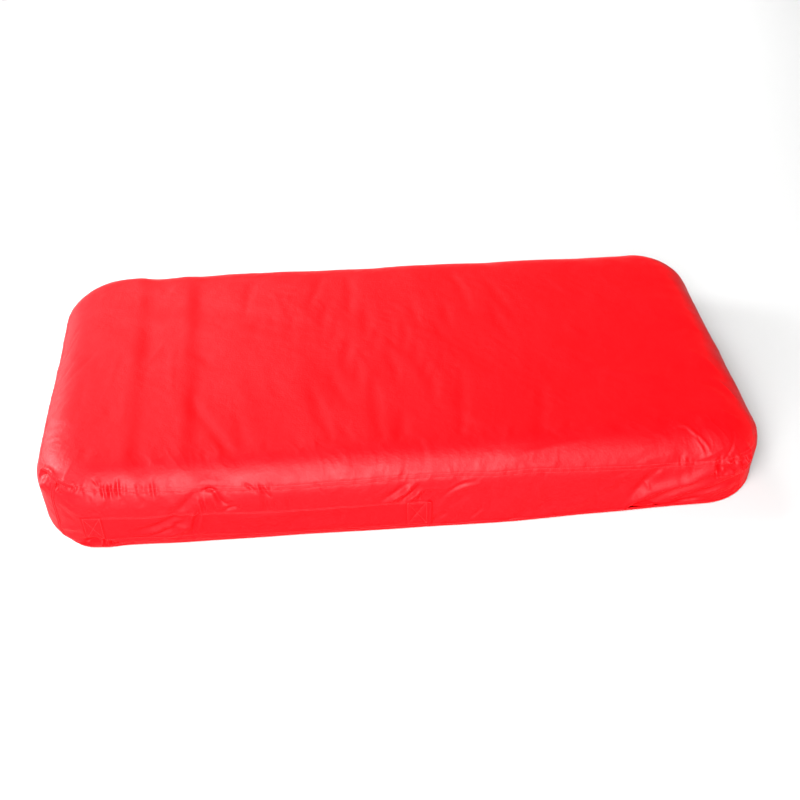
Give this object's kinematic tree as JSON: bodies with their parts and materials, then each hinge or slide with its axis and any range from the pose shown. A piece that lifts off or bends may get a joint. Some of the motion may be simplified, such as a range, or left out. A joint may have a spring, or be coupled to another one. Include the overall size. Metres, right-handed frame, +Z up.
{
  "type": "fitted pad cover",
  "caption": "Rounded rectangular foam pad in a fitted coated-nylon cover with felled top seam, side bands, a stitched side strap and an elasticated hem underneath.",
  "frame": {"origin": "middle of the footprint, on the surface the pad lies on", "axes": "+X along the pad towards its thinner end, +Y away from the side with the strap, +Z up"},
  "size_m": [1.2, 0.6, 0.1519],
  "materials": {
    "cover_cloth": "satin",
    "seam_cloth": "satin",
    "strap_cloth": "satin",
    "elastic": "matte",
    "wadding": "matte",
    "foam": "matte"
  },
  "bodies": {
    "pad": {"foam_main_block": "foam", "head_pad_lower": "foam", "head_pad_upper": "foam", "wadding_layer": "wadding"},
    "cover": {"top_panel": "cover_cloth", "front_band": "cover_cloth", "back_band": "cover_cloth", "left_end_band": "cover_cloth", "right_end_band": "cover_cloth", "top_seam_fell": "seam_cloth", "corner_seam_fl": "seam_cloth", "corner_seam_fr": "seam_cloth", "corner_seam_bl": "seam_cloth", "corner_seam_br": "seam_cloth", "foot_seam_lip": "seam_cloth", "hem_skirt": "cover_cloth", "hem_elastic": "elastic", "elastic_joiner": "elastic", "side_strap": "strap_cloth", "strap_turn_left": "strap_cloth", "strap_turn_right": "strap_cloth"}
  },
  "joints": [
    {"name": "cover_lift", "type": "slide", "parent": "pad", "child": "cover", "axis": [0, 0, 1], "range_m": [0, 0.2], "deforming": ["hem_skirt", "hem_elastic", "elastic_joiner"]}
  ]
}
